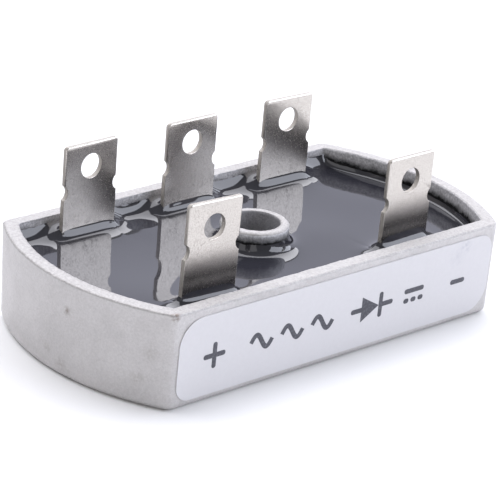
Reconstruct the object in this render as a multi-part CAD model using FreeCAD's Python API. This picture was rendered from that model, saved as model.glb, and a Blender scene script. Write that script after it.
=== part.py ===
import FreeCAD, Part
import math
import os

# A potted three-phase bridge rectifier, in millimetres.
# The origin is the middle of the case's flat base, on the axis of its screw hole.
# +X runs along the case, +Z points up, and the label is on the -Y side.

# Case: a casting with two straight sides, two bulged ends and a screw tube in its middle.
# Lengths and widths are taken at the rim, where the drafted walls stand furthest out.
# Each round end bulges out from its two corners by the bulge.
case_length = 48.7
case_width = 25.4
case_height = 9.6
case_bulge = 3.8
case_draft = 0.2
case_corner_radius = 1.0
base_edge_radius = 0.7
rim_edge_radius = 0.22

# Pocket of the case, open at the top.
side_wall = 1.43
end_wall = 1.33
pocket_bulge = 3.27
pocket_draft = 0.15
floor_thickness = 2.0

# Screw tube, cast with the case.
tube_diameter = 6.68
bore_diameter = 5.0
tube_above_rim = 0.12
tube_edge_chamfer = 0.2
bore_entry_chamfer = 0.3

# Potting: how far its level lies under the rim, and how it creeps up what it meets.
potting_drop = 2.2
wall_creep_radius = 1.3
tube_creep_radius = 1.1
blade_creep_radius = 0.9
creep_film = 0.08
creep_dip = 0.02

# Terminals: one stamped and bent strip each.
blade_width = 6.35
strip_thickness = 0.5
blade_above_rim = 7.34
blade_corner_radius = 0.4
blade_top_chamfer = 0.12
hole_diameter = 2.48
hole_below_top = 2.37
front_hole_drop = 0.19
notch_below_top = 4.61
notch_height = 1.5
notch_depth = 0.45
bend_inner_radius = 0.5
bend_to_blade = 0.3
front_foot_length = 4.0

# Places of the blades: pitch of the back row, and the distance of each row from the pocket's side.
back_row_pitch = 12.55
back_row_gap = 1.33
front_row_gap = 3.35
positive_blade_x = -12.66
negative_blade_x = 12.03

# Small lean (sideways) and twist (about the upright) of each blade, in degrees.
blade_lean = {"ac_left": -0.3, "ac_middle": -0.2, "ac_right": 0.9, "positive": 1.3, "negative": 1.2}
blade_twist = {"ac_left": 0.3, "ac_middle": -0.4, "ac_right": -0.7, "positive": -1.3, "negative": 2.0}

# How far each blade stands behind its row's place, and above the usual height.
blade_setback = {"ac_left": 0.0, "ac_middle": 0.0, "ac_right": 0.0, "positive": 0.28, "negative": -0.1}
blade_rise = {"ac_left": 0.0, "ac_middle": 0.0, "ac_right": 0.0, "positive": 0.27, "negative": -0.11}

# Stack inside the potting, from the floor up: plate, bar, chip, foot, chip, bar.
plate_thickness = 0.6
plate_clearance = 0.6
bar_thickness = 0.8
bar_corner_radius = 0.5
bar_margin = 0.6
bar_end_margin = 0.85
bar_tube_clearance = 1.0
bar_bend_radius = 1.0
bar_step_lead = 0.8
bar_step_run = 2.6
bar_leg_overhang = 0.5
chip_side = 3.6
chip_thickness = 0.3
solder_thickness = 0.1
solder_setback = 0.1
foot_margin = 0.3
foot_solder_length = 2.8
foot_solder_end_gap = 0.3

# Label on the front side.
label_end_gap = 0.6
label_height = 8.0
label_above_base = 0.78
label_thickness = 0.1
label_large_radius = 2.6
label_small_radius = 1.6

X_AXIS = FreeCAD.Vector(1, 0, 0)
Y_AXIS = FreeCAD.Vector(0, 1, 0)
Z_AXIS = FreeCAD.Vector(0, 0, 1)
ORIGIN = FreeCAD.Vector(0, 0, 0)

# Room by which a cutting solid runs past what it cuts, and how far apart two equal places may lie.
past = 1.0
same = 1e-6


def round_end_radius(half_width, bulge):
    """Radius of the round end that passes through both corners and stands out from them by the bulge."""
    return (half_width ** 2 + bulge ** 2) / (2 * bulge)


# Sizes that follow from the ones above.
tube_radius = tube_diameter / 2
tube_top = case_height + tube_above_rim
pocket_half_width = case_width / 2 - side_wall
pocket_half_length = case_length / 2 - end_wall
pocket_straight = 2 * (pocket_half_length - pocket_bulge)
case_end_radius = round_end_radius(case_width / 2, case_bulge)
pocket_end_radius = round_end_radius(pocket_half_width, pocket_bulge)
label_length = case_length - 2 * (case_bulge + label_end_gap)
potting_level = case_height - potting_drop
blade_top = case_height + blade_above_rim
back_row_y = pocket_half_width - back_row_gap
front_row_y = front_row_gap - pocket_half_width

plate_top = floor_thickness + plate_thickness
low_bar_top = plate_top + bar_thickness
lower_chip_bottom = low_bar_top + solder_thickness
lower_chip_top = lower_chip_bottom + chip_thickness
back_foot_bottom = lower_chip_top + solder_thickness
back_foot_top = back_foot_bottom + strip_thickness
upper_chip_bottom = back_foot_top + solder_thickness
upper_chip_top = upper_chip_bottom + chip_thickness
high_bar_bottom = upper_chip_top + solder_thickness
front_foot_bottom = low_bar_top + solder_thickness

stack_y = (tube_radius + back_row_y) / 2
bar_width = chip_side + 2 * bar_margin
bar_half_length = back_row_pitch + chip_side / 2 + bar_end_margin
bar_leg_end = front_row_y - bar_leg_overhang
FRONT_ROW = ("positive", "negative")
STACK_X = {"left": -back_row_pitch, "middle": 0.0, "right": back_row_pitch}


def line(start, end):
    """Straight edge between two points."""
    return Part.LineSegment(start, end).toShape()


def arc(start, middle, end):
    """Round edge through three points."""
    return Part.Arc(start, middle, end).toShape()


def join(shapes):
    """One solid from several that touch or overlap."""
    return shapes[0].multiFuse(shapes[1:]).removeSplitter()


def edges_where(shape, test):
    """The edges of a shape whose every vertex passes a test."""
    return [edge for edge in shape.Edges if all(test(vertex.Point) for vertex in edge.Vertexes)]


def block(length, width, height, centre_x, centre_y, bottom):
    """Upright block, centred in X and Y, standing on a level."""
    corner = FreeCAD.Vector(centre_x - length / 2, centre_y - width / 2, bottom)
    return Part.makeBox(length, width, height, corner)


def upright_edges(shape):
    """The edges of a shape that stand upright."""
    found = []
    for edge in shape.Edges:
        low, high = edge.Vertexes[0].Point, edge.Vertexes[-1].Point
        if abs(low.x - high.x) < same and abs(low.y - high.y) < same:
            found.append(edge)
    return found


def mirrored(half_solid):
    """A solid and its mirror image across the YZ plane, joined."""
    return join([half_solid, half_solid.mirror(ORIGIN, X_AXIS)])


def drafted_block(half_width, half_length, end_radius, bottom, top, lean):
    """Block with two flat sides and two round ends, from one level to another.

    The half width, half length and end radius hold at the top. Every side leans in by the same
    lean on its way down, so the ends are parts of cones, turned so that their seams are cut away.
    """
    height = top - bottom
    section = Part.makePolygon([
        FreeCAD.Vector(0, lean - half_width, bottom), FreeCAD.Vector(0, half_width - lean, bottom),
        FreeCAD.Vector(0, half_width, top), FreeCAD.Vector(0, -half_width, top),
        FreeCAD.Vector(0, lean - half_width, bottom)])
    straight = Part.Face(section).extrude(X_AXIS * (half_length + past))
    cone_foot = FreeCAD.Vector(half_length - end_radius, 0, bottom)
    end = Part.makeCone(end_radius - lean, end_radius, height, cone_foot)
    end.rotate(cone_foot, Z_AXIS, 180)
    return mirrored(straight.common(end))


def case_block():
    """The case's outside as a full solid, wider at the rim than at the base."""
    solid = drafted_block(case_width / 2, case_length / 2, case_end_radius, 0, case_height, case_draft)
    corners = [edge for edge in solid.Edges
               if abs(edge.Vertexes[0].Z - edge.Vertexes[-1].Z) > case_height / 2]
    solid = solid.makeFillet(case_corner_radius, corners)
    foot_edges = edges_where(solid, lambda point: point.z < same)
    solid = solid.makeFillet(base_edge_radius, foot_edges)
    rim_edges = edges_where(solid, lambda point: point.z > case_height - same)
    return solid.makeFillet(rim_edge_radius, rim_edges)


def pocket_block(bottom, top, inset=0.0):
    """The pocket's space between two levels, as a solid, drawn in by an inset."""
    slope = pocket_draft / (case_height - floor_thickness)
    drawn_in = inset + slope * (case_height - top)
    return drafted_block(pocket_half_width - drawn_in, pocket_half_length - drawn_in,
                         pocket_end_radius - drawn_in, bottom, top, slope * (top - bottom))


def make_case():
    """Cast case: outside, pocket, screw tube and the hole through it."""
    pocket = pocket_block(floor_thickness, case_height + past)
    shell = case_block().cut(pocket)
    tube = Part.makeCylinder(tube_radius, tube_top)
    tube = tube.makeChamfer(tube_edge_chamfer, edges_where(tube, lambda point: point.z > tube_top - same))
    bore = Part.makeCylinder(bore_diameter / 2, tube_top + 2 * past, FreeCAD.Vector(0, 0, -past))
    entry_radius = bore_diameter / 2 + bore_entry_chamfer
    entry = Part.makeCone(entry_radius, bore_diameter / 2, bore_entry_chamfer)
    return join([shell, tube]).cut([bore, entry])


def strip_side(points, radius, offset):
    """One side of a bent strip: straight runs joined by arcs, at an offset from its middle line."""
    edges = []
    start = None
    for index, point in enumerate(points):
        if index == 0 or index == len(points) - 1:
            ahead = points[1] - points[0] if index == 0 else points[-1] - points[-2]
            ahead.normalize()
            side = ahead.cross(X_AXIS) * offset
            if index == 0:
                start = point + side
            else:
                edges.append(line(start, point + side))
            continue
        before = (point - points[index - 1]).normalize()
        after = (points[index + 1] - point).normalize()
        turn = before.getAngle(after)
        reach = radius * math.tan(turn / 2)
        inward = (after - before).normalize()
        centre = point + inward * (radius / math.cos(turn / 2))
        first = point - before * reach + before.cross(X_AXIS) * offset
        last = point + after * reach + after.cross(X_AXIS) * offset
        middle = centre - inward * (first - centre).Length
        edges.append(line(start, first))
        edges.append(arc(first, middle, last))
        start = last
    return edges


def bent_strip(points, radius, thickness, width):
    """Strip of even thickness, bent along a path in the YZ plane and centred in X."""
    one = strip_side(points, radius, thickness / 2)
    other = strip_side(points, radius, -thickness / 2)
    one_ends = (one[0].Vertexes[0].Point, one[-1].Vertexes[-1].Point)
    other_ends = (other[0].Vertexes[0].Point, other[-1].Vertexes[-1].Point)
    caps = [line(one_ends[0], other_ends[0]), line(one_ends[1], other_ends[1])]
    outline = Part.Wire(Part.__sortEdges__(one + other + caps))
    strip = Part.Face(outline).extrude(X_AXIS * width)
    strip.translate(X_AXIS * (-width / 2))
    return strip


def blade_plate(name, blade_bottom):
    """The upright blade: round top corners, a notch in each edge and a wire hole."""
    tilt = math.radians(blade_lean[name])
    top = blade_top + blade_rise[name]
    hole_level = top - hole_below_top
    if name in FRONT_ROW:
        hole_level -= front_hole_drop

    def place(across, level):
        up = level - blade_bottom
        return FreeCAD.Vector(across * math.cos(tilt) + up * math.sin(tilt), -strip_thickness / 2,
                              blade_bottom + up * math.cos(tilt) - across * math.sin(tilt))

    half = blade_width / 2
    notch_middle = top - notch_below_top
    notch_low = notch_middle - notch_height / 2
    notch_high = notch_middle + notch_height / 2
    shoulder = top - blade_corner_radius
    round_off = blade_corner_radius * (1 - math.sqrt(0.5))
    foot_left = FreeCAD.Vector(-half, -strip_thickness / 2, blade_bottom)
    foot_right = FreeCAD.Vector(half, -strip_thickness / 2, blade_bottom)
    edges = [
        line(foot_left, foot_right),
        line(foot_right, place(half, notch_low)),
        arc(place(half, notch_low), place(half - notch_depth, notch_middle), place(half, notch_high)),
        line(place(half, notch_high), place(half, shoulder)),
        arc(place(half, shoulder), place(half - round_off, top - round_off),
            place(half - blade_corner_radius, top)),
        line(place(half - blade_corner_radius, top), place(blade_corner_radius - half, top)),
        arc(place(blade_corner_radius - half, top), place(round_off - half, top - round_off),
            place(-half, shoulder)),
        line(place(-half, shoulder), place(-half, notch_high)),
        arc(place(-half, notch_high), place(notch_depth - half, notch_middle), place(-half, notch_low)),
        line(place(-half, notch_low), foot_left),
    ]
    plate = Part.Face(Part.Wire(edges)).extrude(Y_AXIS * strip_thickness)
    top_length = blade_width - 2 * blade_corner_radius
    top_edges = [edge for edge in plate.Edges
                 if abs(edge.Length - top_length) < same and edge.BoundBox.ZMin > shoulder]
    plate = plate.makeChamfer(blade_top_chamfer, top_edges)
    hole_start = place(0, hole_level) - Y_AXIS * past
    hole = Part.makeCylinder(hole_diameter / 2, strip_thickness + 2 * past, hole_start, Y_AXIS)
    return plate.cut(hole)


def place_terminal(shape, name, x, y):
    """Turns a shape by its blade's twist and sets it at the blade's place."""
    shape.rotate(ORIGIN, Z_AXIS, blade_twist[name])
    shape.translate(FreeCAD.Vector(x, y + blade_setback[name], 0))
    return shape


def blade_start(foot_bottom):
    """Level where the flat blade starts above its bend."""
    return foot_bottom + strip_thickness + bend_inner_radius + bend_to_blade


def make_terminal(name, x, y, foot_bottom, foot_reach):
    """Terminal: blade, bend and foot in one piece. The foot runs foot_reach along Y."""
    blade_bottom = blade_start(foot_bottom)
    foot_middle = foot_bottom + strip_thickness / 2
    path = [FreeCAD.Vector(0, 0, blade_bottom), FreeCAD.Vector(0, 0, foot_middle),
            FreeCAD.Vector(0, foot_reach, foot_middle)]
    foot = bent_strip(path, bend_inner_radius + strip_thickness / 2, strip_thickness, blade_width)
    return place_terminal(join([foot, blade_plate(name, blade_bottom)]), name, x, y)


def make_insulating_plate():
    """Flat ceramic plate on the case floor, with a round hole for the tube."""
    inset = pocket_draft + plate_clearance
    plate = block(pocket_straight - 2 * inset, 2 * (pocket_half_width - inset), plate_thickness,
                  0, 0, floor_thickness)
    hole = Part.makeCylinder(tube_radius + plate_clearance, plate_top + past)
    return plate.cut(hole)


def bar_run(bottom):
    """The straight run of a copper bar along the three stacks."""
    run = block(2 * bar_half_length, bar_width, bar_thickness, 0, stack_y, bottom)
    return run.makeFillet(bar_corner_radius, upright_edges(run))


def clear_of_tube(bar, bottom):
    """The bar with a round notch that keeps it off the tube."""
    radius = tube_radius + bar_tube_clearance
    return bar.cut(Part.makeCylinder(radius, bar_thickness + 2 * past, FreeCAD.Vector(0, 0, bottom - past)))


def make_negative_bus_bar():
    """Lower bar: a flat L whose leg runs under the front right blade."""
    leg_length = stack_y - bar_leg_end
    leg = block(bar_width, leg_length, bar_thickness, negative_blade_x, stack_y - leg_length / 2, plate_top)
    toe = [edge for edge in upright_edges(leg) if abs(edge.Vertexes[0].Y - bar_leg_end) < same]
    leg = leg.makeFillet(bar_corner_radius, toe)
    return clear_of_tube(join([bar_run(plate_top), leg]), plate_top)


def make_positive_bus_bar():
    """Upper bar: its leg steps down to the plate and runs under the front left blade."""
    high = high_bar_bottom + bar_thickness / 2
    low = plate_top + bar_thickness / 2
    step_top = stack_y - bar_width / 2 - bar_step_lead
    path = [FreeCAD.Vector(0, stack_y, high), FreeCAD.Vector(0, step_top, high),
            FreeCAD.Vector(0, step_top - bar_step_run, low), FreeCAD.Vector(0, bar_leg_end, low)]
    leg = bent_strip(path, bar_bend_radius, bar_thickness, bar_width)
    toe = [edge for edge in upright_edges(leg) if abs(edge.Vertexes[0].Y - bar_leg_end) < same]
    leg = leg.makeFillet(bar_corner_radius, toe)
    leg.translate(X_AXIS * positive_blade_x)
    return clear_of_tube(join([bar_run(high_bar_bottom), leg]), high_bar_bottom)


def make_chip(x, bottom):
    """Square diode chip, as sawn from its wafer."""
    return block(chip_side, chip_side, chip_thickness, x, stack_y, bottom)


def make_chip_solder(bottom):
    """Three solder pads at one level of the stacks, each a little smaller than its chip."""
    side = chip_side - 2 * solder_setback
    pads = [block(side, side, solder_thickness, x, stack_y, bottom) for x in STACK_X.values()]
    return Part.makeCompound(pads)


def make_foot_solder(name, x):
    """Solder pad between a bar's leg and the foot of a front blade."""
    pad_end = front_row_y + blade_setback[name] + front_foot_length - foot_solder_end_gap
    width = bar_width - 2 * foot_margin
    pad_middle = pad_end - foot_solder_length / 2
    return block(width, foot_solder_length, solder_thickness, x, pad_middle, low_bar_top)


def creep_section(half_gap, radius):
    """Upright half section of the potting that creeps up something 2 * half_gap wide.

    It lies in the XZ plane, to the right of the Z axis. Its curve ends a little under the level,
    so that it crosses it.
    """
    bottom = potting_level - past / 2
    valley = potting_level - creep_dip
    top = valley + radius
    near = half_gap + creep_film
    far = near + radius
    bend = radius * math.sqrt(0.5)

    def at(across, level):
        return FreeCAD.Vector(across, 0, level)

    edges = [
        line(at(0, bottom), at(far, bottom)),
        line(at(far, bottom), at(far, valley)),
        arc(at(far, valley), at(far - bend, top - bend), at(near, top)),
        line(at(near, top), at(0, top)),
        line(at(0, top), at(0, bottom)),
    ]
    return Part.Face(Part.Wire(edges))


def creep_ridge(half_gap, radius, half_run):
    """Ridge of creep along Y, for half_run to each side of the XZ plane."""
    ridge = mirrored(creep_section(half_gap, radius).extrude(Y_AXIS * (2 * half_run)))
    ridge.translate(Y_AXIS * -half_run)
    return ridge


def blade_creep(name, x, y, foot_bottom):
    """Potting that creeps up round one blade, as a solid that the blade is then cut from."""
    half_x = blade_width / 2
    half_y = strip_thickness / 2
    reach = creep_film + blade_creep_radius
    across = creep_ridge(half_x, blade_creep_radius, half_y + reach)
    along = creep_ridge(half_y, blade_creep_radius, half_x + reach)
    along.rotate(ORIGIN, Z_AXIS, 90)
    skirt = across.common(along)
    lean_shift = (potting_level - blade_start(foot_bottom)) * math.tan(math.radians(blade_lean[name]))
    skirt.translate(X_AXIS * lean_shift)
    return place_terminal(skirt, name, x, y)


def tube_creep():
    """Potting that creeps up round the screw tube, as a solid that the tube is then cut from."""
    return creep_section(tube_radius, tube_creep_radius).revolve(ORIGIN, Z_AXIS, 360)


def potting_pool():
    """The potting between floor, walls and tube, with its creep up the walls."""
    contact = potting_level + wall_creep_radius + creep_film
    pool = pocket_block(floor_thickness, contact)
    air = pocket_block(potting_level, case_height + past, creep_film)
    air_foot = edges_where(air, lambda point: point.z < potting_level + same)
    return pool.cut(air.makeFillet(wall_creep_radius, air_foot))


def make_potting(blades, inside):
    """Potting compound: the pool and its creep, fitted round everything that it seals in."""
    creeps = [blade_creep(name, x, y, foot_bottom) for name, x, y, foot_bottom, reach in blades]
    tube = Part.makeCylinder(tube_radius, tube_top)
    return join([potting_pool(), tube_creep()] + creeps).cut([tube] + inside)


def make_label():
    """Paper label that follows the drafted front side, with two large and two small round corners."""
    half = label_length / 2
    low = label_above_base
    high = label_above_base + label_height

    def corner(x_sign, level, z_sign, radius):
        inner_x = x_sign * (half - radius)
        inner_z = level - z_sign * radius
        slant = radius * math.sqrt(0.5)
        return (FreeCAD.Vector(x_sign * half, 0, inner_z),
                FreeCAD.Vector(inner_x + x_sign * slant, 0, inner_z + z_sign * slant),
                FreeCAD.Vector(inner_x, 0, level))

    low_right = corner(1, low, -1, label_large_radius)
    high_right = corner(1, high, 1, label_small_radius)
    high_left = corner(-1, high, 1, label_large_radius)
    low_left = corner(-1, low, -1, label_small_radius)
    edges = [arc(*low_right), line(low_right[0], high_right[0]), arc(*high_right),
             line(high_right[2], high_left[2]), arc(*high_left), line(high_left[0], low_left[0]),
             arc(*low_left), line(low_left[2], low_right[2])]
    outline = Part.Wire(Part.__sortEdges__(edges))
    sheet = Part.Face(outline).extrude(Y_AXIS * -label_thickness)
    sheet.rotate(ORIGIN, X_AXIS, math.degrees(math.atan(case_draft / case_height)))
    sheet.translate(Y_AXIS * (case_draft - case_width / 2))
    return sheet


def build():
    """All pieces by name."""
    back_foot_reach = stack_y - chip_side / 2 - foot_margin - back_row_y
    blades = [("ac_" + side, x, back_row_y, back_foot_bottom, back_foot_reach)
              for side, x in STACK_X.items()]
    blades.append(("positive", positive_blade_x, front_row_y, front_foot_bottom, front_foot_length))
    blades.append(("negative", negative_blade_x, front_row_y, front_foot_bottom, front_foot_length))
    node_names = {"positive": "positive_terminal", "negative": "negative_terminal"}

    inner = {}
    for blade in blades:
        name = blade[0]
        node = node_names.get(name, name.replace("ac_", "ac_terminal_"))
        inner[node] = make_terminal(*blade)
    inner["insulating_plate"] = make_insulating_plate()
    inner["negative_bus_bar"] = make_negative_bus_bar()
    inner["positive_bus_bar"] = make_positive_bus_bar()
    for side, x in STACK_X.items():
        inner["lower_chip_" + side] = make_chip(x, lower_chip_bottom)
        inner["upper_chip_" + side] = make_chip(x, upper_chip_bottom)
    inner["negative_bar_solder"] = make_chip_solder(low_bar_top)
    inner["lower_chip_solder"] = make_chip_solder(lower_chip_top)
    inner["upper_chip_solder"] = make_chip_solder(back_foot_top)
    inner["positive_bar_solder"] = make_chip_solder(upper_chip_top)
    inner["negative_terminal_solder"] = make_foot_solder("negative", negative_blade_x)
    inner["positive_terminal_solder"] = make_foot_solder("positive", positive_blade_x)

    pieces = {"case": make_case(), "label": make_label()}
    pieces["potting_compound"] = make_potting(blades, list(inner.values()))
    pieces.update(inner)
    return pieces


os.makedirs("parts", exist_ok=True)
for node, shape in build().items():
    shape.exportStep("parts/" + node + ".step")
    print(node, len(shape.Solids), "solid(s), valid", shape.isValid(), "volume %.3f" % shape.Volume)
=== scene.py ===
"""Dresses a potted three-phase bridge rectifier for its studio picture.

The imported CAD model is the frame. The case, the potting, the five blades and the print on the label
are built round it here, and the sealed stack inside keeps its CAD solids with better materials.
Every object is in metres. Sizes in the classes below are in millimetres, and MM turns them. Only the
studio's floor and lights are given in metres.
"""
import logging
import math
from dataclasses import dataclass, field
from enum import Enum

import bmesh
import bpy
import numpy as np
from mathutils import Matrix, Vector, noise


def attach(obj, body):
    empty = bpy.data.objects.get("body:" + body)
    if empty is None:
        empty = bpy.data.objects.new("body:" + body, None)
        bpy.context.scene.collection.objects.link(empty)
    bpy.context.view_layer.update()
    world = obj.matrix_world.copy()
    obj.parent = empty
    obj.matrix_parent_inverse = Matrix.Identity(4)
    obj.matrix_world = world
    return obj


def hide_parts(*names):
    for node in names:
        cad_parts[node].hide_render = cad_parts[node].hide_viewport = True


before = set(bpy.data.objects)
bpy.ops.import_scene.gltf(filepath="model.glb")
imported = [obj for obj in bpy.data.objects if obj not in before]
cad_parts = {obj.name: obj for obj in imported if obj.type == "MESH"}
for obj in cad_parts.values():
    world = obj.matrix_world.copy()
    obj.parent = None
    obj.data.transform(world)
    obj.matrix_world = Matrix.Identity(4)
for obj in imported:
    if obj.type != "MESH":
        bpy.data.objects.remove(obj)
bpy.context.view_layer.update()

MM = 0.001
MERGE = 0.0005 * MM
ON_PLANE = 1e-8
LOG = logging.getLogger("rectifier")

Colour = tuple[float, float, float, float]
Node = bpy.types.Node
Socket = bpy.types.NodeSocket
Tree = bpy.types.NodeTree


@dataclass(frozen=True)
class Span:
    """The two ends of a range of values."""

    start: float
    end: float

    def ends(self, side: str) -> dict[str, float]:
        """The two inputs on the From or the To side of a Map Range node."""
        return {side + " Min": self.start, side + " Max": self.end}


def linear(hex_colour: str) -> Colour:
    """Turns an sRGB hex colour into linear RGBA.

    Args:
        hex_colour: Six hex digits after a hash.

    Returns:
        Red, green, blue and an alpha of one.
    """
    shares = [int(hex_colour[place:place + 2], 16) / 255 for place in (1, 3, 5)]
    bent = [share / 12.92 if share <= 0.04045 else ((share + 0.055) / 1.055) ** 2.4 for share in shares]
    return (bent[0], bent[1], bent[2], 1.0)


def per_metre(size_mm: float) -> float:
    """How many times a pattern of a real size in millimetres fits in a metre."""
    return 1.0 / (size_mm * MM)


def add_node(tree: Tree, kind: str, inputs: dict | None = None, **settings: object) -> Node:
    """Adds a shader node with its settings and links.

    Args:
        tree: The node tree that gets the node.
        kind: The node's type, without its ShaderNode prefix.
        inputs: Value for each input, by its name or number: a plain one, an output socket, or a node that
            stands for its first output in use.
        **settings: The node's own properties.

    Returns:
        The new node.
    """
    node = tree.nodes.new("ShaderNode" + kind)
    for name, value in settings.items():
        setattr(node, name, value)
    for name, value in (inputs or {}).items():
        if isinstance(value, Node):
            value = next(output for output in value.outputs if output.enabled)
        if isinstance(value, Socket):
            tree.links.new(value, node.inputs[name])
        else:
            node.inputs[name].default_value = value
    return node


@dataclass(frozen=True)
class Finish:
    """A finish, named for what the real one is made of and how. Its surface says what drives the shader."""

    name: str

    def surface(self, tree: Tree, place: Socket) -> dict:
        """Adds the finish's own nodes.

        Args:
            tree: The node tree that gets them.
            place: The object coordinates.

        Returns:
            Value, socket or node for each input of the Principled shader that the finish sets.
        """
        raise NotImplementedError

    def material(self) -> bpy.types.Material:
        """Builds the material.

        Returns:
            The material, ready to assign.
        """
        material = bpy.data.materials.new(self.name)
        material.use_nodes = True
        tree = material.node_tree
        tree.nodes.clear()
        place = add_node(tree, "TexCoord").outputs["Object"]
        shader = add_node(tree, "BsdfPrincipled", self.surface(tree, place))
        add_node(tree, "OutputMaterial", {"Surface": shader})
        return material


@dataclass(frozen=True)
class Spot:
    """A small stain: its place and reach in millimetres, and how far it covers what lies under it."""

    x: float
    y: float
    z: float
    reach: float
    cover: float


def spot_mask(tree: Tree, place: Socket, spots: tuple[Spot, ...], fray_mm: float = 0.3,
              fray_span: Span = Span(0.35, 0.6)) -> Node:
    """Where a handful of stains lie, each frayed by noise.

    Args:
        tree: The node tree that gets the nodes.
        place: The object coordinates.
        spots: The stains.
        fray_mm: Width of the frays.
        fray_span: The noise at which a stain begins to show, and at which it is whole.

    Returns:
        Up to a stain's cover in its middle, none off it.
    """
    fray = add_node(tree, "TexNoise", {"Vector": place, "Scale": per_metre(fray_mm), "Detail": 3.0})
    frayed = add_node(tree, "MapRange", {"Value": fray, **fray_span.ends("From")})
    cover = 0.0
    for spot in spots:
        away = add_node(tree, "VectorMath", {0: place, 1: (spot.x * MM, spot.y * MM, spot.z * MM)},
                        operation="DISTANCE")
        near = add_node(tree, "MapRange", {"Value": away, "From Min": spot.reach * MM, "From Max": 0.0,
                                           "To Max": spot.cover})
        cover = add_node(tree, "Math", {0: cover, 1: near}, operation="MAXIMUM")
    return add_node(tree, "Math", {0: cover, 1: frayed}, operation="MULTIPLY")


@dataclass(frozen=True)
class BlastedCastAluminium(Finish):
    """Die-cast aluminium, blasted: an even, dull silver with a sandy grain, and painted shade that darkens
    its top along the rim.
    """

    name: str = "cast_aluminium_blasted"
    light: str = "#D0CECE"
    dark: str = "#C0BEBE"
    # The rim's tones are painted shade: darker than the body on the top of the case and its tube, speckled by
    # the grain.
    shaded_rim_light: str = "#B7B5B4"
    shaded_rim_dark: str = "#A3A1A0"
    soiled: str = "#8A7F78"
    roughness: float = 0.7
    # Blasting pits the skin about every 0.1 mm. The grain is drawn twice as coarse, so that it shows.
    grain_mm: float = 0.22
    cloud_mm: float = 5.0
    grain_height_mm: float = 0.05
    rim_grain_height_mm: float = 0.045
    rim_from: float = 9.35
    rim_full: float = 9.5
    mottle_span: Span = Span(0.75, 1.25)
    rim_span: Span = Span(0.36, 0.64)
    spots: tuple[Spot, ...] = (Spot(-20.5, -12.5, 9.45, 0.6, 1.3), Spot(-24.2, -2.0, 6.8, 0.6, 0.75),
                               Spot(-24.2, 0.6, 2.2, 0.8, 0.35), Spot(-24.1, -1.4, 1.2, 0.9, 0.3),
                               Spot(-22.1, -9.7, 2.7, 0.9, 0.3), Spot(-21.6, -10.7, 5.5, 1.1, 0.25))

    def surface(self, tree: Tree, place: Socket) -> dict:
        """Adds the nodes of the grain, the painted shade on the rim and the stains.

        Args:
            tree: The node tree that gets them.
            place: The object coordinates.

        Returns:
            The shader's inputs.
        """
        grain = add_node(tree, "TexNoise", {"Vector": place, "Scale": per_metre(self.grain_mm), "Detail": 3.0,
                                            "Roughness": 0.7})
        cloud = add_node(tree, "TexNoise", {"Vector": place, "Scale": per_metre(self.cloud_mm), "Detail": 5.0,
                                            "Roughness": 0.7})
        mottle = add_node(tree, "Math", {0: grain, 1: cloud}, operation="ADD")
        shade = add_node(tree, "MapRange", {"Value": mottle, **self.mottle_span.ends("From")})
        tint = add_node(tree, "Mix", {0: shade, 6: linear(self.dark), 7: linear(self.light)},
                        data_type="RGBA")
        level = add_node(tree, "SeparateXYZ", {"Vector": place})
        # Painted shade: above rim_from the top of the rim and tube takes the darker rim tones, with the grain
        # speckled through them.
        rimmed = add_node(tree, "MapRange", {"Value": level.outputs["Z"], "From Min": self.rim_from * MM,
                                             "From Max": self.rim_full * MM})
        sandy = add_node(tree, "MapRange", {"Value": grain, **self.rim_span.ends("From")})
        rim = add_node(tree, "Mix", {0: sandy, 6: linear(self.shaded_rim_dark), 7: linear(self.shaded_rim_light)},
                       data_type="RGBA")
        clean = add_node(tree, "Mix", {0: rimmed, 6: tint, 7: rim}, data_type="RGBA")
        colour = add_node(tree, "Mix", {0: spot_mask(tree, place, self.spots), 6: clean,
                                        7: linear(self.soiled)}, data_type="RGBA")
        depth = add_node(tree, "MapRange", {"Value": rimmed, "To Min": self.grain_height_mm * MM,
                                            "To Max": self.rim_grain_height_mm * MM})
        bump = add_node(tree, "Bump", {"Height": grain, "Strength": 1.0, "Distance": depth})
        return {"Base Color": colour, "Metallic": 1.0, "Roughness": self.roughness, "Normal": bump}


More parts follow.
